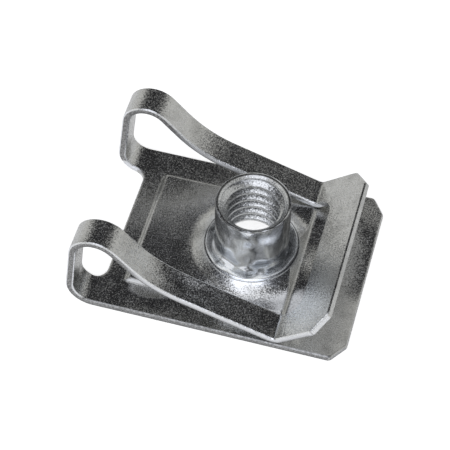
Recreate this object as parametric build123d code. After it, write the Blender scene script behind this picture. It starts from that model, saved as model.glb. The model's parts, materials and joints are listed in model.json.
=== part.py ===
from build123d import *
import os
from math import cos, radians, sin, tan

# Clip nut for an M6 screw: one strip of sprung steel sheet, folded back over itself in two
# loops, with a threaded barrel drawn up through a raised panel. Millimetres and degrees.
# X runs from the loops (-X) to the lead-in lip (+X), Z rises from the plate to the arms.
# X and Y are measured from the thread's axis, heights from the underside of the plate.

# Sheet and plate
SHEET = 0.70
EDGE_BREAK = 0.12
WIDTH = 19.0
PLATE_FRONT = 11.10
PLATE_CORNER_ALONG = 1.25
PLATE_CORNER_ACROSS = 1.75
CORNER_ROUND = 0.50

# Notch in the plate, between the two loops
NOTCH_EDGE = -12.45
NOTCH_CORNER = 1.20

# Loops and sprung arms, as radii on the outer face of the sheet
ARM_WIDTH = 2.85
LOOP_REAR = -15.20
LOOP_HEIGHT = 9.90
BEND_RADIUS = 2.45
LEG_LEAN = 6.5
CROWN_RADIUS = 2.50
SLOPE_ANGLE = 48.0
SWEEP_RADIUS = 10.70
ARM_ANGLE = 18.5

# Crease that springs against the plate, and the lip in front of it
CREASE = 4.50
CREASE_RADIUS = 0.50
CREASE_GAP = 0.12
LIP_ANGLE = 39.5
LIP_LENGTH = 5.70
LIP_CORNER_ALONG = 1.55
LIP_CORNER_ACROSS = 1.75
WINDOW_ON_LIP = 1.95
WINDOW_CORNER = 1.60

# Raised panel, half sheared along its sides and joggled at its ends
PANEL_REAR = -10.20
PANEL_FRONT = 4.57
PANEL_SIDE_GAP = 0.25
PANEL_RISE = 0.50
REAR_SLOPE = 55.0
FRONT_SLOPE = 65.0
JOGGLE_RADIUS = 0.35

# Dome that the barrel is drawn from: a swell of the panel, with a low step up to the flare
DOME_FOOT = 5.85
DOME_BLEND = 1.60
LEDGE_HEIGHT = 2.20
LEDGE_RADIUS = 4.50
LEDGE_STEP = 0.12
FLARE_UP = 1.10

# Drawn barrel: its bore is the thread's outside diameter
THREAD_RADIUS = 3.00
BARREL_WALL = 0.50
BARREL_TOP = 8.40
MOUTH_CHAMFER = 0.30
MOUTH_ROUND = 0.45
RIM_CHAMFER = 0.08

# How far a cutter runs past what it cuts, and the turn that makes an edge a sharp one
OVERRUN = 1.0
SHARP_TURN = 25

# Sizes that follow
HALF_WIDTH = WIDTH / 2
WINDOW_HALF = HALF_WIDTH - ARM_WIDTH
PANEL_HALF = WINDOW_HALF - PANEL_SIDE_GAP
PANEL_TOP = SHEET + PANEL_RISE
BARREL_RADIUS = THREAD_RADIUS + BARREL_WALL
THREAD_START = LEDGE_HEIGHT - SHEET + MOUTH_ROUND
PARTING = SHEET + CREASE_GAP / 2


def heading(angle):
    """Unit vector in side view, at an angle above +X."""
    return Vector(cos(radians(angle)), sin(radians(angle)))


def rear_corner():
    """Where the plate's underside and the leg of a loop would meet with no bend."""
    half_turn = radians(90 + LEG_LEAN) / 2
    return Vector(LOOP_REAR + BEND_RADIUS - BEND_RADIUS * tan(half_turn), 0)


def crown_corner():
    """Where the leg and the slope would meet, from the height that the crown reaches."""
    lean = radians(LEG_LEAN)
    half_turn = radians(90 - LEG_LEAN + SLOPE_ANGLE) / 2
    leg = (LOOP_HEIGHT - CROWN_RADIUS + CROWN_RADIUS * sin(lean)) / cos(lean)
    return rear_corner() + heading(90 - LEG_LEAN) * (leg + CROWN_RADIUS * tan(half_turn))


def crease_corner():
    """Where the arm and the lip would meet, with the bend's underside just off the plate."""
    centre = Vector(CREASE, 2 * SHEET + CREASE_GAP + CREASE_RADIUS)
    reach = CREASE_RADIUS / cos(radians(ARM_ANGLE + LIP_ANGLE) / 2)
    return centre + heading((LIP_ANGLE - ARM_ANGLE) / 2 - 90) * reach


def sweep_corner():
    """Where the steep slope and the shallow arm would meet."""
    crown = crown_corner()
    crease = crease_corner()
    shallow = tan(radians(ARM_ANGLE))
    drop = crown.Y - crease.Y - (crease.X - crown.X) * shallow
    run = drop / (sin(radians(SLOPE_ANGLE)) - cos(radians(SLOPE_ANGLE)) * shallow)
    return crown + heading(-SLOPE_ANGLE) * run


def lip_plane():
    """Upper face of the lip, with its X running up the lip from the crease."""
    crease = crease_corner()
    along = heading(LIP_ANGLE)
    square = heading(LIP_ANGLE + 90)
    return Plane(
        origin=(crease.X, 0, crease.Y), x_dir=(along.X, 0, along.Y), z_dir=(square.X, 0, square.Y)
    )


def outer_line():
    """Outer face of the fold in side view, from the plate's front edge round to the lip's."""
    corners = [
        Vector(PLATE_FRONT, 0),
        rear_corner(),
        crown_corner(),
        sweep_corner(),
        crease_corner(),
        crease_corner() + heading(LIP_ANGLE) * LIP_LENGTH,
    ]
    bends = [BEND_RADIUS, CROWN_RADIUS, SWEEP_RADIUS, CREASE_RADIUS]
    return FilletPolyline(*corners, radius=bends)


def folded_strip():
    """Plate, loops, arms and lip as one folded sheet, still at full width."""
    section = make_face(offset(outer_line(), amount=SHEET, side=Side.RIGHT))
    return extrude(Plane.XZ * section, HALF_WIDTH, both=True)


def notch():
    """Cutter for the rear end of the plate between the loops, with round corners."""
    block = Box(
        NOTCH_EDGE - LOOP_REAR + OVERRUN,
        2 * WINDOW_HALF,
        LOOP_HEIGHT + OVERRUN,
        align=(Align.MAX, Align.CENTER, Align.CENTER),
    )
    block = block.moved(Location((NOTCH_EDGE, 0, 0)))
    uprights = block.edges().filter_by(Axis.Z).group_by(Axis.X)[-1]
    return fillet(uprights, NOTCH_CORNER)


def window():
    """Cutter for the gap between the arms, upright at its sides and square to the lip in front."""
    crease = crease_corner()
    square = heading(LIP_ANGLE + 90)
    foot = crease - square * ((crease.Y - PARTING) / square.Y)
    head = crease + square * OVERRUN
    rear = LOOP_REAR - OVERRUN
    top = LOOP_HEIGHT + OVERRUN
    side = Polygon(
        (rear, BEND_RADIUS),
        (NOTCH_EDGE, BEND_RADIUS),
        (NOTCH_EDGE, PARTING),
        (foot.X, PARTING),
        (head.X, head.Y),
        (head.X, top),
        (rear, top),
        align=None,
    )
    gap = extrude(Plane.XZ * side, WINDOW_HALF, both=True)
    end = Rectangle(2 * WINDOW_ON_LIP, 2 * WINDOW_HALF)
    end = fillet(end.vertices(), WINDOW_CORNER)
    return gap + through_lip(end)


def through_lip(outline):
    """An outline on the lip's upper face, made a cutter that goes just through the sheet."""
    ahead = Rectangle(2 * LIP_LENGTH, 2 * WIDTH, align=(Align.MIN, Align.CENTER))
    cut = lip_plane() * (outline & Pos(-CREASE_GAP, 0) * ahead)
    return extrude(cut, SHEET + CREASE_GAP, both=True)


def corners(front, along, across):
    """Outline of what is cut off the front of a leaf, to leave it two blunt, rounded corners."""
    back = front - 2 * along
    side = HALF_WIDTH
    leaf = Polygon(
        (back, -side),
        (front - along, -side),
        (front, across - side),
        (front, side - across),
        (front - along, side),
        (back, side),
        align=None,
    )
    leaf = fillet(leaf.vertices().sort_by(Axis.X)[2:], CORNER_ROUND)
    around = Rectangle(2 * along + OVERRUN, WIDTH + 2 * OVERRUN, align=(Align.MIN, Align.CENTER))
    return Pos(back, 0) * around - leaf


def sharp_edges(solid):
    """Edges where two faces meet at an angle, and not where one runs smoothly into the next."""
    meetings = {}
    for face in solid.faces():
        for edge in face.edges():
            meetings.setdefault(edge, []).append(face)
    found = []
    for edge, faces in meetings.items():
        spot = edge.position_at(0.5)
        turn = faces[0].normal_at(spot).get_angle(faces[-1].normal_at(spot))
        if turn > SHARP_TURN:
            found.append(edge)
    return found


def panel_length(top):
    """Where the rear and front slopes of the raised panel are at a height over the plate."""
    rear = PANEL_REAR - (PANEL_TOP - top) / tan(radians(REAR_SLOPE))
    front = PANEL_FRONT + (PANEL_TOP - top) / tan(radians(FRONT_SLOPE))
    return rear, front


def panel_block():
    """Panel in side view, stepped up over its two joggles, and solid down to under the plate."""
    rear, front = panel_length(SHEET)
    step = Polygon(
        (rear - JOGGLE_RADIUS, -OVERRUN),
        (front + JOGGLE_RADIUS, -OVERRUN),
        (front + JOGGLE_RADIUS, SHEET),
        (front, SHEET),
        (PANEL_FRONT, PANEL_TOP),
        (PANEL_REAR, PANEL_TOP),
        (rear, SHEET),
        (rear - JOGGLE_RADIUS, SHEET),
        align=None,
    )
    bends = step.vertices().filter_by(lambda v: rear - 0.01 < v.X < front + 0.01)
    return extrude(Plane.XZ * fillet(bends, JOGGLE_RADIUS), PANEL_HALF, both=True)


def turned(profile):
    """Solid that a closed profile sweeps about the thread's axis, from radii and heights."""
    return revolve(Plane.XZ * make_face(profile), axis=Axis.Z)


def dome():
    """Swell under the barrel, turned about the thread's axis, and cut where the panel steps down."""
    swell = FilletPolyline(
        (LEDGE_RADIUS, LEDGE_HEIGHT - LEDGE_STEP),
        (DOME_FOOT, PANEL_TOP),
        (DOME_FOOT + DOME_BLEND, PANEL_TOP),
        radius=DOME_BLEND,
    )
    under = Polyline(
        (DOME_FOOT + DOME_BLEND, PANEL_TOP),
        (DOME_FOOT + DOME_BLEND, 0),
        (0, 0),
        (0, LEDGE_HEIGHT),
        (LEDGE_RADIUS, LEDGE_HEIGHT),
        (LEDGE_RADIUS, LEDGE_HEIGHT - LEDGE_STEP),
    )
    high = BARREL_TOP
    low_front = panel_length(0)[1]
    high_front = panel_length(high)[1]
    side = Polygon((-WIDTH, 0), (low_front, 0), (high_front, high), (-WIDTH, high), align=None)
    return turned(swell + under) & extrude(Plane.XZ * side, PANEL_HALF, both=True)


def raised_form():
    """Outer form of the panel and its dome, as a solid."""
    return panel_block() + dome()


def barrel():
    """Barrel with the flare at its foot, solid, turned about the thread's axis."""
    across = LEDGE_RADIUS - BARREL_RADIUS
    hollow = EllipticalCenterArc(
        (LEDGE_RADIUS, LEDGE_HEIGHT + FLARE_UP), across, FLARE_UP, 180, arc_size=90
    )
    inside = Polyline(
        (LEDGE_RADIUS, LEDGE_HEIGHT),
        (LEDGE_RADIUS, LEDGE_HEIGHT - SHEET),
        (0, LEDGE_HEIGHT - SHEET),
        (0, BARREL_TOP),
        (BARREL_RADIUS - RIM_CHAMFER, BARREL_TOP),
        (BARREL_RADIUS, BARREL_TOP - RIM_CHAMFER),
        (BARREL_RADIUS, LEDGE_HEIGHT + FLARE_UP),
    )
    return turned(hollow + inside)


def bore():
    """Cutter for the bore, rounded at its lower mouth and chamfered at its upper one."""
    wide = THREAD_RADIUS + MOUTH_ROUND
    mouth = EllipticalCenterArc((wide, THREAD_START), MOUTH_ROUND, MOUTH_ROUND, 180, arc_size=90)
    core = Polyline(
        (wide, THREAD_START - MOUTH_ROUND),
        (wide, -OVERRUN),
        (0, -OVERRUN),
        (0, BARREL_TOP),
        (THREAD_RADIUS + MOUTH_CHAMFER, BARREL_TOP),
        (THREAD_RADIUS, BARREL_TOP - MOUTH_CHAMFER),
        (THREAD_RADIUS, THREAD_START),
    )
    return turned(mouth + core)


def panel_opening():
    """What the raised form leaves of the plate: nothing between its joggles and its sides."""
    rear, front = panel_length(SHEET)
    length = front - rear + 2 * JOGGLE_RADIUS
    block = Box(length, 2 * PANEL_HALF, SHEET, align=(Align.MIN, Align.CENTER, Align.MIN))
    return block.moved(Location((rear - JOGGLE_RADIUS, 0, 0)))


def clip_nut():
    """The folded strip with its cut-outs, its panel and its barrel, set on the thread's mouth."""
    plate_corners = corners(PLATE_FRONT, PLATE_CORNER_ALONG, PLATE_CORNER_ACROSS)
    strip = folded_strip() - notch() - window()
    strip -= extrude(plate_corners, PARTING, both=True)
    strip -= through_lip(corners(LIP_LENGTH, LIP_CORNER_ALONG, LIP_CORNER_ACROSS))
    strip = chamfer(sharp_edges(strip), EDGE_BREAK)
    form = raised_form()
    raised = form - form.moved(Location((0, 0, -SHEET)))
    return (strip - panel_opening() + raised + barrel() - bore()).moved(
        Location((0, 0, -THREAD_START))
    )


os.makedirs("parts", exist_ok=True)
nut = clip_nut()
nut.label = "clip_nut"
export_step(nut, "parts/clip_nut.step")
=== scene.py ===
"""Finish, thread and studio for a clip nut folded from sprung steel sheet."""

import json
from math import cos, pi, radians, sin, sqrt, tau
from typing import NamedTuple

import bmesh
import bpy
import numpy as np
from bpy.props import FloatProperty, FloatVectorProperty, IntProperty, PointerProperty
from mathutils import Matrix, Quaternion, Vector


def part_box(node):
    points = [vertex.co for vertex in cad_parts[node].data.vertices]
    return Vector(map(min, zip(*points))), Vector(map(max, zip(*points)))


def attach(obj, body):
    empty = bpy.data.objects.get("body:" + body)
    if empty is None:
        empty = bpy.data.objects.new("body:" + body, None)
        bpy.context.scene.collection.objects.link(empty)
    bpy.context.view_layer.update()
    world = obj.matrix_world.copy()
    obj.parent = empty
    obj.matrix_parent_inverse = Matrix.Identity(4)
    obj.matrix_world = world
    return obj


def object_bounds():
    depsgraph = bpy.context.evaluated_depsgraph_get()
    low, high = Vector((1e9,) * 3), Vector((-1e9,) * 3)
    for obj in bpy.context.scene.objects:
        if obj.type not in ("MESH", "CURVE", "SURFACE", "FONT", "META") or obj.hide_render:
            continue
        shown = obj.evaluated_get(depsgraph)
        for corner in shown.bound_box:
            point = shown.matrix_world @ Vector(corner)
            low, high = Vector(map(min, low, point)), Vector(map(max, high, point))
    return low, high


bl_info = {
    "name": "Clip nut",
    "version": (1, 0, 0),
    "blender": (4, 5, 0),
    "location": "3D View > Sidebar > Clip nut",
    "description": "Zinc finish, tapped thread and studio for a sprung steel clip nut",
    "category": "Object",
}

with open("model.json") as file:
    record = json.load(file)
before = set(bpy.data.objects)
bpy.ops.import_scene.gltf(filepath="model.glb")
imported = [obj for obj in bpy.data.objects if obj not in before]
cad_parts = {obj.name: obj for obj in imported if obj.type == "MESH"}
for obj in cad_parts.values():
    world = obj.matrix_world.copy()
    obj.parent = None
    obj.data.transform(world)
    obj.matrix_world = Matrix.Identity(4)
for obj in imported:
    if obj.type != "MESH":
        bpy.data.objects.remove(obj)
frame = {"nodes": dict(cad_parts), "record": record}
CAD_BOX = [list(corner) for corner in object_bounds()]
MOUNTS = {mount["name"]: mount for mount in frame["record"]["mounts"]}
THREAD = MOUNTS["screw_thread"]
MM = 0.001


# ---------------------------------------------------------------- places on the nut


# All in millimetres. Along is from the loops to the lip, across is over the width, and up is
# from the thread's lower mouth. The thread's axis stands at 0 along and across.
LOW, HIGH = (np.array(corner) / MM for corner in CAD_BOX)
BORE = THREAD["dims"]["r_mm"]
RIM_TOP = THREAD["dims"]["length_mm"]
WALL = BORE + 0.3  # only the rim has faces between this radius and the outside of the barrel
BARREL = BORE + 0.5
SWELL = BARREL + 1.9  # radius at which the swell round the flare runs out into the panel
SHEET = 0.7
PLATE_TOP = LOW[2] + SHEET
PANEL_TOP = PLATE_TOP + 0.5
PANEL_SIDE = HIGH[1] - 3.1
ARM_REAR = -10.0  # where the loops run down into the arms
LIP_REAR = 4.7  # just in front of the crease
NOSE_REAR = 7.9  # the nose is the plate's front end, under the lip and in front of it


class Patch(NamedTuple):
    """A soft patch of the sheet that folding or drawing has marked."""

    centre: tuple  # along and across
    reach: tuple  # along and across, to where the mark has died away
    core: float  # share of the reach over which the mark is whole
    slope: float = 0.0  # how far the sheet leans across, away from flat


PULLS = {
    "near_corner": Patch((9.2, -7.5), (12.5, 8.5), 0.4, 0.29),
    "far_corner": Patch((10.6, 8.4), (4.0, 4.0), 0.2, 0.12),
    "behind_lip": Patch((6.4, 0.6), (2.6, 3.2), 0.3, 0.17),
    "beside_barrel": Patch((5.2, -5.2), (3.3, 4.0), 0.3, -0.3),
    "under_arm": Patch((-8.0, -6.9), (2.6, 1.1), 0.5, -0.3),
    "near_arm": Patch((-4.5, -6.9), (4.5, 1.8), 0.2, -0.32),
}
LIP_WIPE = Patch((6.4, -6.4), (3.0, 6.0), 0.2)


# ---------------------------------------------------------------- sizes and colours


class FinishSettings(bpy.types.PropertyGroup):
    """Zinc plating, the marks that tumbling and drawing leave on it, and painted highlight and
    shade.
    """

    zinc: FloatVectorProperty(
        name="Zinc", description="Reflected colour of the plating",
        subtype="COLOR", size=3, min=0, max=1, default=(0.54, 0.54, 0.53),
    )
    burnished: FloatVectorProperty(
        name="Burnished", description="Colour where the drawing tools rubbed the plating bright",
        subtype="COLOR", size=3, min=0, max=1, default=(0.93, 0.96, 1.0),
    )
    # Colour of the real worn edges, and of the painted highlight on the sheared sides of the arms
    # and of the panel.
    rubbed: FloatVectorProperty(
        name="Rubbed", description="Colour of the worn edges and of the arms' sheared sides",
        subtype="COLOR", size=3, min=0, max=1, default=(0.82, 0.83, 0.85),
    )
    cut: FloatVectorProperty(
        name="Cut", description="Colour of the sheared edges of the plate",
        subtype="COLOR", size=3, min=0, max=1, default=(0.44, 0.44, 0.44),
    )
    # The real torn band of a sheared edge, darkened as painted shade where it faces down, and the
    # painted shade of the rim's lines.
    torn_and_shade: FloatVectorProperty(
        name="Torn", description="Colour of the torn half of a sheared edge and of the rim's lines",
        subtype="COLOR", size=3, min=0, max=1, default=(0.16, 0.16, 0.16),
    )
    # Strength of the painted shade on the barrel's two sides: the share of brightness that they
    # keep.
    flank_shade: FloatProperty(
        name="Flank", description="Share of its brightness that the sides of the barrel keep",
        subtype="FACTOR", min=0, max=1, default=0.5,
    )
    bore_polish: FloatProperty(
        name="Bore polish", description="How far the tap burnished the bore",
        subtype="FACTOR", min=0, max=1, default=0.3,
    )
    lip_polish: FloatProperty(
        name="Lip polish", description="How far folding burnished the near half of the lip",
        subtype="FACTOR", min=0, max=1, default=0.45,
    )
    grain: FloatProperty(
        name="Grain", description="Width of one grain of the surface",
        unit="LENGTH", min=0.01 * MM, default=0.12 * MM,
    )
    tilt: FloatProperty(
        name="Tilt", description="How far the grains of the flat sheet lean, as a slope",
        subtype="FACTOR", min=0, max=2, default=0.6,
    )
    waves: FloatProperty(
        name="Waves", description="How far the plate leans in its slow waves, as a slope",
        subtype="FACTOR", min=0, max=2, default=0.3,
    )
    roughness: FloatProperty(
        name="Roughness", description="Roughness of each grain of the sheet",
        subtype="FACTOR", min=0, max=1, default=0.2,
    )
    specks: FloatProperty(
        name="Specks", description="How much duller the scattered dull grains are",
        subtype="FACTOR", min=0, max=1, default=0.35,
    )
    cut_roughness: FloatProperty(
        name="Cut roughness", description="Least roughness of a sheared edge",
        subtype="FACTOR", min=0, max=1, default=0.42,
    )
    bore_roughness: FloatProperty(
        name="Bore roughness", description="Least roughness of the bore and its thread",
        subtype="FACTOR", min=0, max=1, default=0.25,
    )
    smear: FloatProperty(
        name="Smear", description="Depth of the soft waves along the barrel",
        unit="LENGTH", min=0, default=1.2 * MM,
    )
    edge: FloatProperty(
        name="Edge", description="Radius to which tumbling has worn the edges",
        unit="LENGTH", min=0, default=0.1 * MM,
    )
    drawn_reach: FloatProperty(
        name="Drawn reach", description="How far from the thread's axis the sheet is burnished",
        unit="LENGTH", min=0, default=4.9 * MM,
    )


class ThreadSettings(bpy.types.PropertyGroup):
    """The thread that is tapped in the barrel."""

    pitch: FloatProperty(
        name="Pitch", description="Rise of the thread in one turn",
        unit="LENGTH", min=0.1 * MM, default=1.0 * MM,
    )
    run_in: FloatProperty(
        name="Run in", description="Part of a turn over which each end of the ridge rises",
        subtype="FACTOR", min=0.05, max=1, default=0.35,
    )
    start: FloatProperty(
        name="Start", description="Where the ridge begins at the lower mouth, from forwards",
        subtype="ANGLE", unit="ROTATION", default=radians(-50),
    )
    chamfer: FloatProperty(
        name="Chamfer", description="Height over which the bore opens below the rim",
        unit="LENGTH", min=0, default=0.3 * MM,
    )
    steps: IntProperty(
        name="Steps", description="Sections of the ridge in one turn",
        min=16, default=120,
    )


class StudioSettings(bpy.types.PropertyGroup):
    """Camera, floor and lamps."""

    azimuth: FloatProperty(
        name="Azimuth", description="Side that the camera looks from, 0 being square to the arms",
        subtype="ANGLE", unit="ROTATION", default=radians(14.53),
    )
    elevation: FloatProperty(
        name="Elevation", description="Height of the camera above the horizon",
        subtype="ANGLE", unit="ROTATION", default=radians(53.17),
    )
    roll: FloatProperty(
        name="Roll", description="Tilt of the camera about its own line of sight",
        subtype="ANGLE", unit="ROTATION", default=radians(1.09),
    )
    distance: FloatProperty(
        name="Distance", description="From the camera to the point that it looks at",
        unit="LENGTH", default=156.58 * MM,
    )
    aim: FloatVectorProperty(
        name="Aim", description="Point that the camera looks at, from the middle of the nut",
        subtype="TRANSLATION", unit="LENGTH", size=3, default=(-0.45 * MM, -0.51 * MM, -0.28 * MM),
    )
    lens: FloatProperty(
        name="Lens", description="Focal length in millimetres",
        min=1, default=135.0,
    )
    floor: FloatVectorProperty(
        name="Floor", description="Colour of the floor",
        subtype="COLOR", size=3, min=0, max=1, default=(0.9, 0.9, 0.9),
    )
    horizon: FloatVectorProperty(
        name="Horizon", description="Light that comes from round the sides",
        subtype="COLOR", size=3, min=0, max=4, default=(0.78, 0.78, 0.76),
    )
    ceiling: FloatVectorProperty(
        name="Ceiling", description="Light that comes from above, beside the soft patch",
        subtype="COLOR", size=3, min=0, max=4, default=(0.03, 0.03, 0.033),
    )
    overhead: FloatVectorProperty(
        name="Overhead", description="Light that comes from the soft patch overhead",
        subtype="COLOR", size=3, min=0, max=4, default=(1.12, 1.15, 1.24),
    )
    key: FloatProperty(
        name="Key lamp", description="Brightness of the softbox overhead",
        min=0, default=0.45,
    )
    key_place: FloatVectorProperty(
        name="Key place", description="Middle of the softbox, from the middle of the nut",
        subtype="TRANSLATION", unit="LENGTH", size=3, default=(0, -110 * MM, 180 * MM),
    )
    key_width: FloatProperty(
        name="Key width", description="Width of the softbox",
        unit="LENGTH", min=1 * MM, default=150 * MM,
    )
    key_depth: FloatProperty(
        name="Key depth", description="Depth of the softbox",
        unit="LENGTH", min=1 * MM, default=120 * MM,
    )


# ---------------------------------------------------------------- nodes


def link_or_set(tree, socket, value):
    """Gives an input its value, or the output that feeds it."""
    if isinstance(value, bpy.types.NodeSocket):
        tree.links.new(value, socket)
    else:
        socket.default_value = value


def add_node(tree, kind, inputs=None, **settings):
    """A node with its settings made, and its inputs set or linked by name or by number."""
    node = tree.nodes.new(kind)
    for name, value in settings.items():
        setattr(node, name, value)
    for name, value in (inputs or {}).items():
        link_or_set(tree, node.inputs[name], value)
    return node


def maths(tree, operation, *values, clamp=False):
    """Output of a Math node on up to three values or sockets."""
    inputs = dict(enumerate(values))
    return add_node(tree, "ShaderNodeMath", inputs, operation=operation, use_clamp=clamp).outputs[0]


def blend(tree, share, first, second):
    """Output of a colour Mix node: second over first by that share."""
    node = add_node(tree, "ShaderNodeMix", data_type="RGBA")
    for socket, value in zip((0, 6, 7), (share, first, second)):
        link_or_set(tree, node.inputs[socket], value)
    return node.outputs[2]


def ramp(tree, value, low, high):
    """0 below low, 1 above high, and a smooth rise between."""
    inputs = {"Value": value, "From Min": low, "From Max": high}
    node = add_node(tree, "ShaderNodeMapRange", inputs, interpolation_type="SMOOTHSTEP")
    return node.outputs["Result"]


def ramp_mm(tree, value, low, high):
    """Such a rise for a length, between two places in millimetres."""
    return ramp(tree, value, low * MM, high * MM)


def product(tree, first, *rest):
    """Output of Math nodes that multiply all of the values or sockets."""
    for value in rest:
        first = maths(tree, "MULTIPLY", first, value)
    return first


def vector(tree, operation, *values):
    """Output of a Vector Math node, a number for a dot product and a vector for the others."""
    node = add_node(tree, "ShaderNodeVectorMath", dict(enumerate(values)), operation=operation)
    return node.outputs["Value" if operation == "DOT_PRODUCT" else "Vector"]


def length_of(tree, arrow):
    """Length of a vector."""
    return maths(tree, "SQRT", vector(tree, "DOT_PRODUCT", arrow, arrow))


def noise_node(tree, position, width, detail=2.0):
    """Noise node whose lumps have about that width, with a value and a colour of 0 to 1."""
    inputs = {"Vector": position, "Scale": maths(tree, "DIVIDE", 1.0, width), "Detail": detail}
    return add_node(tree, "ShaderNodeTexNoise", inputs)


def noise(tree, position, width, detail=2.0):
    """Value of such a noise."""
    return noise_node(tree, position, width, detail).outputs[0]


def rounded_normal(tree, radius):
    """Normal of the faces, turned softly over edges that are rounded to that radius."""
    return add_node(tree, "ShaderNodeBevel", {"Radius": radius}, samples=6).outputs[0]


def paint(colour, share=1.0):
    """That share of a colour, with its opacity, for a socket."""
    return (*(share * part for part in colour), 1)


def new_tree(holder):
    """The emptied node tree of a material or a world."""
    holder.use_nodes = True
    holder.node_tree.nodes.clear()
    return holder.node_tree


def group_nodes(name, inputs, outputs):
    """A shader node group with those sockets, and its two end nodes."""
    group = bpy.data.node_groups.new(name, "ShaderNodeTree")
    for label, kind in inputs.items():
        group.interface.new_socket(label, in_out="INPUT", socket_type=kind)
    for label, kind in outputs.items():
        group.interface.new_socket(label, in_out="OUTPUT", socket_type=kind)
    return group, group.nodes.new("NodeGroupInput"), group.nodes.new("NodeGroupOutput")


def plating_grain():
    """Group: fine leaning grains of plated, tumbled steel, with specks and slower clouds.

    The normal is the one given, plus a small step in a direction that is random from grain to
    grain and a second one from wave to wave, brought back to a length of one. The widths of
    the waves, clouds and specks are so many grains."""
    group, start, end = group_nodes(
        "plating_grain",
        {
            "Position": "NodeSocketVector",
            "Normal": "NodeSocketVector",
            "Grain": "NodeSocketFloat",
            "Tilt": "NodeSocketFloat",
            "Waves": "NodeSocketFloat",
        },
        {"Normal": "NodeSocketVector", "Speck": "NodeSocketFloat", "Cloud": "NodeSocketFloat"},
    )
    given = start.outputs
    wave_grains, cloud_grains, speck_grains = 40.0, 14.0, 0.9
    normal = given["Normal"]
    for grains, slope in ((1.0, given["Tilt"]), (wave_grains, given["Waves"])):
        size = maths(group, "MULTIPLY", given["Grain"], grains)
        lumps = noise_node(group, given["Position"], size, detail=1.0).outputs["Color"]
        inputs = {0: vector(group, "SUBTRACT", lumps, (0.5, 0.5, 0.5)), "Scale": slope}
        lean = add_node(group, "ShaderNodeVectorMath", inputs, operation="SCALE").outputs[0]
        normal = vector(group, "ADD", normal, lean)
    fine = maths(group, "MULTIPLY", given["Grain"], speck_grains)
    specks = noise(group, given["Position"], fine, detail=0.0)
    wide = maths(group, "MULTIPLY", given["Grain"], cloud_grains)
    results = {
        "Normal": vector(group, "NORMALIZE", normal),
        "Speck": ramp(group, specks, 0.5, 0.75),
        "Cloud": noise(group, given["Position"], wide, detail=3.0),
    }
    for label, socket in results.items():
        group.links.new(socket, end.inputs[label])
    return group


# ---------------------------------------------------------------- marks of the work, and painted highlight and shade


class Spot:
    """Where a face of the nut is and how it faces, as sockets of one material.

    Its radius is its distance from the thread's axis, and aside is how far it is from the
    nut's middle line."""

    def __init__(self, tree):
        given = add_node(tree, "ShaderNodeTexCoord").outputs
        self.tree = tree
        self.place = given["Object"]
        self.normal = given["Normal"]
        self.along, self.across, self.up = self.parts(self.place)
        self.aside = maths(tree, "ABSOLUTE", self.across)
        self.radius = length_of(tree, vector(tree, "MULTIPLY", self.place, (1, 1, 0)))

    def parts(self, socket):
        """The three parts of a vector."""
        return tuple(add_node(self.tree, "ShaderNodeSeparateXYZ", {0: socket}).outputs)


class Marks(NamedTuple):
    """How far a spot bears each mark of the work and each painted highlight and shade, as sockets
    or numbers from 0 to 1.
    """

    grainy: object = 1.0  # keeps the grain of the tumbled sheet
    drawn: object = 0.0  # burnished by the drawing tools
    flank_shade: object = 0.0  # painted shade on the two sides of the barrel that face along the strip
    bore: object = 0.0  # burnished by the tap
    lip: object = 0.0  # burnished by the wiper that folds the lip
    cut: object = 0.0  # sheared
    torn_and_shade: object = 0.0  # on the lower, downward-facing half of a sheared edge: the torn band, darkened as painted shade
    rubbed: object = 0.0  # worn bright by tumbling on the edges, and painted highlight on the arms' sheared sides
    rolled_highlight: object = 0.0  # painted highlight on the panel's sheared sides, which are rolled over at the top
    rim: object = 0.0  # two dark lines round the rim, painted shade


def sheet_marks(spot, settings, pulled):
    """The marks that the folded sheet bears from place to place, and where highlight and shade are
    painted on it.
    """
    tree = spot.tree
    drawn = drawn_mask(spot, settings.drawn_reach)
    cut, rubbed = edge_masks(spot, drawn)
    rolled_highlight = rolled_highlight_mask(spot, cut)
    return Marks(
        grainy=grain_left(spot, drawn, pulled),
        drawn=drawn,
        flank_shade=flank_shade_mask(spot),
        bore=ramp_mm(tree, spot.radius, WALL + 0.04, WALL),
        lip=lip_mask(spot),
        cut=cut,
        torn_and_shade=maths(tree, "SUBTRACT", torn_and_shade_mask(spot, cut), rolled_highlight, clamp=True),
        rubbed=rubbed,
        rolled_highlight=rolled_highlight,
        rim=rim_shade_mask(spot),
    )


def drawn_mask(spot, reach):
    """1 outside the barrel and on its flare, falling to 0 over the swell, with a cloudy edge.

    The lumps of a noise make the edge stray outwards."""
    tree = spot.tree
    stray, lump, fade = 1.6 * MM, 1.5 * MM, 1.2 * MM
    lumps = noise(tree, spot.place, lump)
    strayed = maths(tree, "MULTIPLY_ADD", lumps, -stray, spot.radius)
    near = ramp(tree, strayed, reach - stray + fade, reach - stray)
    return product(tree, near, ramp_mm(tree, spot.radius, WALL, WALL + 0.15))


def grain_left(spot, drawn, pulled):
    """Share of the tumbled grain that is left by drawing, and where the plate was stretched."""
    tree = spot.tree
    lost_drawn, lost_stretched = 0.85, 0.7
    stretched = pulled["near_corner"]
    for name in ("beside_barrel", "under_arm"):
        stretched = maths(tree, "MAXIMUM", stretched, pulled[name])
    return product(
        tree,
        maths(tree, "MULTIPLY_ADD", drawn, -lost_drawn, 1.0),
        maths(tree, "MULTIPLY_ADD", stretched, -lost_stretched, 1.0),
    )


def flank_shade_mask(spot):
    """1 on the two sides of the barrel that face along the strip, which get painted shade.

    How far along a face lies is taken as a share of its radius."""
    tree = spot.tree
    turned = maths(tree, "DIVIDE", maths(tree, "ABSOLUTE", spot.along), spot.radius)
    outside = ramp_mm(tree, spot.radius, WALL + 0.04, WALL + 0.1)
    flare = ramp_mm(tree, spot.radius, SWELL + 0.1, SWELL - 0.3)
    return product(tree, ramp(tree, turned, 0.6, 0.95), outside, flare)


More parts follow.
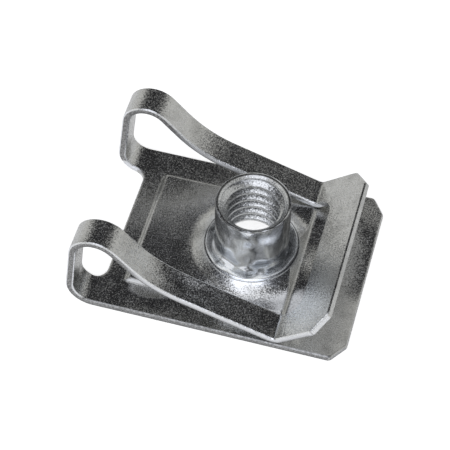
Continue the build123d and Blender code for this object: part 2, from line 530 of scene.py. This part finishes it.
def rim_shade_mask(spot):
    """1 on two lines round the rim, painted dark as shade.

    They lie inside and outside a bright line along the middle of the rim."""
    tree = spot.tree
    middle = (WALL + BARREL) / 2 * MM
    high = ramp_mm(tree, spot.up, RIM_TOP - 0.12, RIM_TOP - 0.06)
    away = maths(tree, "ABSOLUTE", maths(tree, "SUBTRACT", spot.radius, middle))
    inside = ramp_mm(tree, spot.radius, BARREL + 0.02, BARREL)
    return product(tree, high, ramp_mm(tree, away, 0.02, 0.06), inside)


def lip_mask(spot):
    """1 on the near half of the lip, polished by the wiper that folds it."""
    tree = spot.tree
    above = ramp_mm(tree, spot.up, PLATE_TOP + 0.15, PLATE_TOP + 0.45)
    front = ramp_mm(tree, spot.along, LIP_REAR, LIP_REAR + 0.5)
    return product(tree, above, front, patch_share(spot, LIP_WIPE))


def joggle_mask(spot):
    """1 on the panel and close round it, where the sheet steps up in one soft bend."""
    low = ramp_mm(spot.tree, spot.up, PANEL_TOP + 0.35, PANEL_TOP + 0.15)
    inside = ramp_mm(spot.tree, spot.aside, PANEL_SIDE + 0.4, PANEL_SIDE + 0.2)
    return product(spot.tree, low, inside)


def flat_mask(spot):
    """1 on the plate and its panel, and 0 on all that stands up from them."""
    return ramp_mm(spot.tree, spot.up, PANEL_TOP + 0.55, PANEL_TOP + 0.15)


def edge_masks(spot, drawn):
    """Where the sheet is sheared, where its edges are rubbed bright, and where a highlight is
    painted.

    Sheared faces look straight out to the sides. The narrow worn edge beside them looks half
    up, and the sheared sides of the sprung arms get its bright colour as a painted highlight.
    On the plate the worn edge is as dull as the sheared face, and little of it is bright."""
    tree = spot.tree
    dulled = 0.8
    sideways = maths(tree, "ABSOLUTE", spot.parts(spot.normal)[1])
    undrawn = maths(tree, "SUBTRACT", 1.0, drawn)
    facing = product(tree, ramp(tree, sideways, 0.93, 0.99), undrawn)
    half_up = product(tree, ramp(tree, sideways, 0.5, 0.6), ramp(tree, sideways, 0.9, 0.8))
    beside = product(tree, half_up, undrawn)
    raised = ramp_mm(tree, spot.up, PLATE_TOP + 0.25, PLATE_TOP + 0.55)
    # Painted highlight: the sheared sides of the arms take the rubbed colour.
    arm = product(tree, raised, facing, ramp_mm(tree, spot.along, ARM_REAR, ARM_REAR + 3))
    plate = ramp_mm(tree, spot.up, PLATE_TOP + 0.35, PLATE_TOP + 0.15)
    worn = product(tree, beside, maths(tree, "MULTIPLY_ADD", plate, -dulled, 1.0))
    cut = maths(tree, "MAXIMUM", facing, product(tree, beside, plate))
    return cut, maths(tree, "ADD", arm, worn, clamp=True)


def torn_and_shade_mask(spot, cut):
    """1 on the lower half of a sheared edge, where the sheet tore instead of being cut and where
    the edge faces down, darkened there as painted shade.

    Rounding nearly to half of the sheet's thickness turns the normal up on the upper half of
    the edge, and down on the lower half."""
    rounded = rounded_normal(spot.tree, (SHEET / 2 - 0.01) * MM)
    down = ramp(spot.tree, spot.parts(rounded)[2], 0.05, -0.12)
    return product(spot.tree, down, cut)


def rolled_highlight_mask(spot, cut):
    """1 on the sheared sides of the panel, which are turned over at the top and get a painted
    highlight.
    """
    inside = ramp_mm(spot.tree, spot.aside, PANEL_SIDE + 0.6, PANEL_SIDE + 0.4)
    return product(spot.tree, inside, cut, flat_mask(spot))


def patch_share(spot, patch):
    """1 in the core of a patch, falling to 0 at its reach along and across.

    The distance from its centre is measured along and across, each as a share of the reach."""
    centre = (patch.centre[0] * MM, patch.centre[1] * MM, 0)
    shares = (1 / (patch.reach[0] * MM), 1 / (patch.reach[1] * MM), 0)
    away = vector(spot.tree, "SUBTRACT", spot.place, centre)
    distance = length_of(spot.tree, vector(spot.tree, "MULTIPLY", away, shares))
    return ramp(spot.tree, distance, 1.0, patch.core)


def pull_shares(spot):
    """How far each of the pulls acts on a spot.

    The near corner of the nose is bowed away from the arm above it, the strip behind the lip is
    bowed the same way in its middle, and the sheet is pulled in beside the barrel's front and
    along the near arm. The corners' pulls act on the nose and on the plate beside the panel."""
    tree = spot.tree
    flat = flat_mask(spot)
    nose = ramp_mm(tree, spot.along, NOSE_REAR, NOSE_REAR + 0.4)
    beside_panel = ramp_mm(tree, spot.across, 0.1 - PANEL_SIDE, -0.3 - PANEL_SIDE)
    outer = maths(tree, "MAXIMUM", nose, beside_panel)
    limits = {
        "near_corner": (flat, outer),
        "far_corner": (flat, outer),
        "behind_lip": (flat,),
        "beside_barrel": (flat, ramp_mm(tree, spot.radius, SWELL, SWELL + 1)),
        "under_arm": (flat,),
        "near_arm": (ramp_mm(tree, spot.up, 0.2, 0.6),),
    }
    return {
        name: product(tree, patch_share(spot, patch), *limits[name])
        for name, patch in PULLS.items()
    }


def sheet_lean(spot, pulled, rolled_highlight):
    """Step added to the normal: across by the slope of each pull, and up on the panel's sheared
    sides.
    """
    rolled_slope = 0.9
    across = 0.0
    for name, share in pulled.items():
        across = maths(spot.tree, "MULTIPLY_ADD", share, PULLS[name].slope, across)
    parts = {"Y": across, "Z": maths(spot.tree, "MULTIPLY", rolled_highlight, rolled_slope)}
    return add_node(spot.tree, "ShaderNodeCombineXYZ", parts).outputs[0]


def drawn_smear(spot, depth):
    """Height of soft waves along the barrel, drawn out by the die, and dying away on its flare."""
    tree = spot.tree
    width, squeeze = 2.0 * MM, (1, 1, 0.55)
    squeezed = vector(tree, "MULTIPLY", spot.place, squeeze)
    waves = noise(tree, squeezed, width, detail=0.6)
    flare = ramp_mm(tree, spot.radius, BARREL + 0.9, BARREL + 0.1)
    outside = ramp_mm(tree, spot.radius, WALL - 0.03, WALL)
    return product(tree, waves, flare, outside, depth)


# ---------------------------------------------------------------- zinc plating


def sheet_material(settings, group):
    """Zinc plate on the folded sheet, with the marks of each place."""
    material = bpy.data.materials.new("zinc_plated_sheet")
    tree = new_tree(material)
    spot = Spot(tree)
    pulled = pull_shares(spot)
    marks = sheet_marks(spot, settings, pulled)
    softer = 0.25 * MM
    edge = maths(tree, "MULTIPLY_ADD", joggle_mask(spot), softer, settings.edge)
    smear = {
        "Height": drawn_smear(spot, settings.smear),
        "Distance": 1.0,
        "Normal": rounded_normal(tree, edge),
    }
    smeared = add_node(tree, "ShaderNodeBump", smear).outputs[0]
    normal = vector(tree, "ADD", smeared, sheet_lean(spot, pulled, marks.rolled_highlight))
    zinc_plate(spot, marks, normal, settings, group)
    return material


def thread_material(settings, group):
    """Zinc plate on the tapped thread, all of it burnished as the bore is."""
    material = bpy.data.materials.new("zinc_plated_thread")
    spot = Spot(new_tree(material))
    normal = rounded_normal(spot.tree, settings.edge)
    zinc_plate(spot, Marks(bore=1.0), normal, settings, group)
    return material


def zinc_plate(spot, marks, normal, settings, group):
    """Zinc plate on steel: grainy where tumbled, smooth and smeared where drawn, dull where cut."""
    tree = spot.tree
    inputs = {
        "Position": spot.place,
        "Normal": normal,
        "Grain": settings.grain,
        "Tilt": product(tree, marks.grainy, settings.tilt),
        "Waves": product(tree, wave_mask(spot, marks.grainy), settings.waves),
    }
    grain = add_node(tree, "ShaderNodeGroup", node_tree=group)
    for socket, value in inputs.items():
        link_or_set(tree, grain.inputs[socket], value)
    shader = add_node(
        tree,
        "ShaderNodeBsdfPrincipled",
        {
            "Base Color": plate_colour(spot, marks, settings, grain.outputs["Cloud"]),
            "Roughness": plate_roughness(tree, marks, settings, grain.outputs),
            "Metallic": 1.0,
            "Normal": grain.outputs["Normal"],
        },
    )
    out = add_node(tree, "ShaderNodeOutputMaterial")
    tree.links.new(shader.outputs[0], out.inputs[0])


def wave_mask(spot, grainy):
    """1 on the plate and its panel, falling to 0.2 on all that stands up and where it is smooth."""
    least = 0.2
    low = ramp_mm(spot.tree, spot.up, 0.2, PANEL_TOP + 0.25)
    waved = product(spot.tree, low, grainy)
    return maths(spot.tree, "MULTIPLY_ADD", waved, 1 - least, least)


def plate_colour(spot, marks, settings, cloud):
    """Clouded zinc, with the burnished, sheared, rubbed and torn colours laid over it in turn.
    The barrel's darker sides and the rim's dark lines are painted shade. The torn colour is a real
    torn band, darkened as painted shade where the edge faces down. The rubbed colour on the sheared
    sides of the arms and of the panel is painted highlight.

    The clouds dull the zinc a little, and the sheared edges are flecked with dark bits a
    little wider than a grain."""
    tree = spot.tree
    clouded, flecked, bit = 0.8, 0.45, 1.3 * settings.grain
    dim = ramp(tree, cloud, 0.3, 0.6)
    colour = blend(tree, dim, paint(settings.zinc, clouded), paint(settings.zinc))
    polish = maths(tree, "MULTIPLY_ADD", marks.bore, settings.bore_polish, marks.drawn)
    polish = maths(tree, "MULTIPLY_ADD", marks.lip, settings.lip_polish, polish, clamp=True)
    # Painted shade: a darker burnished colour for the barrel's two sides.
    dull = paint(settings.burnished, settings.flank_shade)
    burnished = blend(tree, marks.flank_shade, paint(settings.burnished), dull)
    clear = ramp(tree, noise(tree, spot.place, bit), 0.42, 0.6)
    sheared = blend(tree, clear, paint(settings.cut, flecked), paint(settings.cut))
    coats = (
        (polish, burnished),
        (marks.cut, sheared),
        # Worn edges, and the painted highlight on the arms' sheared sides.
        (marks.rubbed, paint(settings.rubbed)),
        # Painted highlight on the panel's sheared sides.
        (marks.rolled_highlight, paint(settings.rubbed)),
        # The torn band, darkened as painted shade where the edge faces down.
        (marks.torn_and_shade, paint(settings.torn_and_shade)),
        # Painted shade: the rim's two dark lines.
        (marks.rim, paint(settings.torn_and_shade)),
    )
    for share, coat in coats:
        colour = blend(tree, share, colour, coat)
    return colour


def plate_roughness(tree, marks, settings, grain):
    """Roughness of the clouds and dull specks, and no less than that of a cut or of the bore."""
    clouded, polished = 0.1, 0.01
    specks = product(tree, grain["Speck"], marks.grainy, settings.specks)
    least = settings.roughness - clouded / 2
    rough = maths(tree, "MULTIPLY_ADD", grain["Cloud"], clouded, least)
    rough = maths(tree, "ADD", rough, specks)
    rough = maths(tree, "MULTIPLY_ADD", marks.drawn, -polished, rough)
    rough = maths(tree, "MAXIMUM", rough, product(tree, marks.cut, settings.cut_roughness))
    return maths(tree, "MAXIMUM", rough, product(tree, marks.bore, settings.bore_roughness))


# ---------------------------------------------------------------- thread


def thread_section(pitch):
    """Places along the axis and heights of the ridge's section, from one foot to the other.

    The height is the distance from the nearer foot times the root of 3, as flanks of a thread
    meet at 60 degrees, and it stays level over the flat crest. Foot and crest are measured
    from the middle of the ridge."""
    foot, crest, corners = 7 / 16 * pitch, 1 / 8 * pitch, 15
    along = np.linspace(-foot, foot, corners)
    height = sqrt(3) * (foot - np.maximum(np.abs(along), crest))
    return along, height


def thread_mesh(root, length, settings):
    """The ridge between the grooves of the thread, as one closed body.

    A section is carried up a helix: at turn t the angle is t times a full turn past the start,
    and its middle is at t times the pitch above the lift. The ridge's height is scaled at each
    end by a smooth step over the run in, down to a small share, and it ends under the chamfer,
    which cuts it off at 45 degrees. The helix runs a little past the top, and its back is sunk
    in the wall of the bore."""
    pitch = settings.pitch
    lift, lowest = pitch / 8, pitch / 100
    past_top, least, sunk = 0.3, 0.02, 0.04 * MM
    along, height = thread_section(pitch)
    turns = length / pitch + past_top
    turn = np.linspace(0, turns, int(turns * settings.steps) + 1)[:, None]
    rise = np.clip(np.minimum(turn, turns - turn) / settings.run_in, 0, 1)
    scale = least + (1 - least) * rise * rise * (3 - 2 * rise)
    top = length - settings.chamfer
    z = np.clip(turn * pitch + lift + along, lowest, top)
    radius = np.minimum(np.maximum(root - height * scale, root + z - top), root)

    back = np.full_like(turn, root + sunk)
    radius = np.concatenate([radius, back, back], axis=1)
    z = np.concatenate([z, z[:, -1:], z[:, :1]], axis=1)
    angle = np.broadcast_to(turn * tau + settings.start, radius.shape)
    points = np.stack([radius * np.cos(angle), radius * np.sin(angle), z], axis=-1)
    return closed_tube(points)


def closed_tube(points):
    """Corners and faces of a tube through rings of points, with a flat cap on each end."""
    rings, around = points.shape[:2]
    number = np.arange(rings * around).reshape(rings, around)
    beside = np.roll(number, -1, axis=1)
    quads = np.stack([number[:-1], number[1:], beside[1:], beside[:-1]], axis=-1).reshape(-1, 4)
    caps = [number[0].tolist(), number[-1][::-1].tolist()]
    return points.reshape(-1, 3), quads.tolist() + caps


def make_object(name, points, faces):
    """A mesh object at the origin, with double corners merged and faces pointing outwards."""
    same = 0.0001 * MM
    mesh = bpy.data.meshes.new(name)
    mesh.from_pydata(points.tolist(), [], faces)
    shell = bmesh.new()
    shell.from_mesh(mesh)
    bmesh.ops.remove_doubles(shell, verts=shell.verts, dist=same)
    bmesh.ops.recalc_face_normals(shell, faces=shell.faces)
    shell.to_mesh(mesh)
    shell.free()
    piece = bpy.data.objects.new(name, mesh)
    bpy.context.scene.collection.objects.link(piece)
    return piece


# ---------------------------------------------------------------- studio


def look_from(settings, middle):
    """Camera on its line of sight: back is the direction from the aim to the camera."""
    azimuth = settings.azimuth
    elevation = settings.elevation
    level = cos(elevation)
    back = Vector((sin(azimuth) * level, -cos(azimuth) * level, sin(elevation)))
    camera = bpy.data.objects.new("camera", bpy.data.cameras.new("camera"))
    camera.location = middle + Vector(settings.aim) + back * settings.distance
    camera.rotation_mode = "QUATERNION"
    upright = (-back).to_track_quat("-Z", "Y")
    camera.rotation_quaternion = upright @ Quaternion((0, 0, 1), settings.roll)
    camera.data.lens = settings.lens
    camera.data.sensor_width = 36
    camera.data.clip_start = 10 * MM
    camera.data.clip_end = 10
    bpy.context.scene.collection.objects.link(camera)
    bpy.context.scene.camera = camera


def softbox(name, place, target, width, depth, brightness):
    """An area lamp that faces the target. Its power is brightness times area times pi."""
    lamp = bpy.data.lights.new(name, "AREA")
    lamp.shape = "RECTANGLE"
    lamp.size = width
    lamp.size_y = depth
    lamp.energy = brightness * width * depth * pi
    box = bpy.data.objects.new(name, lamp)
    box.location = place
    box.rotation_mode = "QUATERNION"
    box.rotation_quaternion = (Vector(target) - Vector(place)).to_track_quat("-Z", "Y")
    bpy.context.scene.collection.objects.link(box)


def studio_world(settings):
    """Pale round the horizon, dim above it, and pale again in a wide soft patch overhead.

    The patch lies a little towards the camera, and is narrower along the nut than across it.
    Heights are the upward part of a direction: 0 at the horizon, and 1 straight up."""
    world = bpy.data.worlds.new("studio")
    bpy.context.scene.world = world
    tree = new_tree(world)
    way = add_node(tree, "ShaderNodeTexCoord").outputs["Generated"]
    parts = add_node(tree, "ShaderNodeSeparateXYZ", {0: way}).outputs
    above = ramp(tree, parts["Z"], 0.34, 0.66)
    colour = blend(tree, above, paint(settings.horizon), paint(settings.ceiling))
    towards_camera, narrowing = (0, 0.4, 0), (2.2, 1.6, 0)
    away = vector(tree, "MULTIPLY", vector(tree, "ADD", way, towards_camera), narrowing)
    reach = maths(tree, "SQRT", vector(tree, "DOT_PRODUCT", away, away))
    lit = product(tree, ramp(tree, reach, 1.25, 0.55), ramp(tree, parts["Z"], 0.2, 0.5))
    colour = blend(tree, lit, colour, paint(settings.overhead))
    sky = add_node(tree, "ShaderNodeBackground", {"Color": colour, "Strength": 1.0})
    out = add_node(tree, "ShaderNodeOutputWorld")
    tree.links.new(sky.outputs[0], out.inputs[0])


def floor_material(colour):
    """Pale floor that keeps its shadows, with a little light of its own, and clear from below.

    Its own light is what shiny and clear pieces show of it, and more straight to the camera."""
    material = bpy.data.materials.new("studio_floor")
    tree = new_tree(material)
    own_light, camera_share = 0.4, 1.8
    path = add_node(tree, "ShaderNodeLightPath").outputs
    seen = maths(tree, "ADD", path["Is Glossy Ray"], path["Is Transmission Ray"], clamp=True)
    seen = maths(tree, "MULTIPLY_ADD", path["Is Camera Ray"], camera_share, seen)
    light = {"Color": (1, 1, 1, 1), "Strength": maths(tree, "MULTIPLY", seen, own_light)}
    glow = add_node(tree, "ShaderNodeEmission", light)
    matt = add_node(tree, "ShaderNodeBsdfDiffuse", {"Color": paint(colour)})
    both = add_node(tree, "ShaderNodeAddShader", {0: matt.outputs[0], 1: glow.outputs[0]})
    clear = add_node(tree, "ShaderNodeBsdfTransparent")
    below = add_node(tree, "ShaderNodeNewGeometry").outputs["Backfacing"]
    sides = {0: below, 1: both.outputs[0], 2: clear.outputs[0]}
    surface = add_node(tree, "ShaderNodeMixShader", sides)
    out = add_node(tree, "ShaderNodeOutputMaterial")
    tree.links.new(surface.outputs[0], out.inputs[0])
    return material


def floor_sheet(level, reach):
    """A level square that reaches as far as that to each side of the thread's axis."""
    corners = np.array([[-1, -1, 0], [1, -1, 0], [1, 1, 0], [-1, 1, 0]]) * reach
    return make_object("floor", corners + np.array([0, 0, level]), [[0, 1, 2, 3]])


# ---------------------------------------------------------------- operators


class CLIPNUT_OT_finish(bpy.types.Operator):
    """Give the folded sheet its zinc plating"""

    bl_idname = "clipnut.finish"
    bl_label = "Plate the nut"

    def execute(self, context):
        material = sheet_material(context.scene.clip_finish, plating_grain())
        for slot in frame["nodes"]["clip_nut"].material_slots:
            slot.material = material
        return {"FINISHED"}


class CLIPNUT_OT_thread(bpy.types.Operator):
    """Tap the thread in the barrel"""

    bl_idname = "clipnut.thread"
    bl_label = "Tap the thread"

    def execute(self, context):
        points, faces = thread_mesh(BORE * MM, RIM_TOP * MM, context.scene.clip_thread)
        ridge = make_object("thread_ridge", points + np.array(THREAD["pos_m"]), faces)
        ridge.data.shade_smooth()
        ridge.data.set_sharp_from_angle(angle=radians(35))
        group = bpy.data.node_groups["plating_grain"]
        ridge.data.materials.append(thread_material(context.scene.clip_finish, group))
        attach(ridge, "root")
        return {"FINISHED"}


class CLIPNUT_OT_studio(bpy.types.Operator):
    """Set up the floor, the lamps and the camera"""

    bl_idname = "clipnut.studio"
    bl_label = "Set up the studio"

    def execute(self, context):
        settings = context.scene.clip_studio
        low, high = (Vector(corner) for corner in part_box("clip_nut"))
        middle = (low + high) / 2
        gap, reach = 0.02 * MM, 3.0  # the gap keeps the floor clear of the plate's underside
        floor = floor_sheet(low.z - gap, reach)
        floor.data.materials.append(floor_material(settings.floor))
        studio_world(settings)
        place = middle + Vector(settings.key_place)
        softbox("key", place, middle, settings.key_width, settings.key_depth, settings.key)
        look_from(settings, middle)
        return {"FINISHED"}


class CLIPNUT_PT_sidebar(bpy.types.Panel):
    """Sizes, colours and steps of the clip nut"""

    bl_idname = "CLIPNUT_PT_sidebar"
    bl_label = "Clip nut"
    bl_space_type = "VIEW_3D"
    bl_region_type = "UI"
    bl_category = "Clip nut"

    def draw(self, context):
        steps = (
            ("clip_finish", "clipnut.finish"),
            ("clip_thread", "clipnut.thread"),
            ("clip_studio", "clipnut.studio"),
        )
        for group, operator in steps:
            box = self.layout.box()
            settings = getattr(context.scene, group)
            for name in settings.__annotations__:
                box.prop(settings, name)
            box.operator(operator)


GROUPS = {
    "clip_finish": FinishSettings,
    "clip_thread": ThreadSettings,
    "clip_studio": StudioSettings,
}
CLASSES = (
    *GROUPS.values(),
    CLIPNUT_OT_finish,
    CLIPNUT_OT_thread,
    CLIPNUT_OT_studio,
    CLIPNUT_PT_sidebar,
)


def register():
    """Adds the classes, and their settings to every scene."""
    for kind in CLASSES:
        bpy.utils.register_class(kind)
    for name, group in GROUPS.items():
        setattr(bpy.types.Scene, name, PointerProperty(type=group))


def unregister():
    """Takes the settings and the classes away again."""
    for name in GROUPS:
        delattr(bpy.types.Scene, name)
    for kind in reversed(CLASSES):
        bpy.utils.unregister_class(kind)


def main():
    """Makes the finish, the thread and the studio in turn."""
    register()
    bpy.ops.clipnut.finish()
    bpy.ops.clipnut.thread()
    bpy.ops.clipnut.studio()
    bpy.context.scene.view_settings.view_transform = "Standard"


if __name__ == "__main__":
    main()
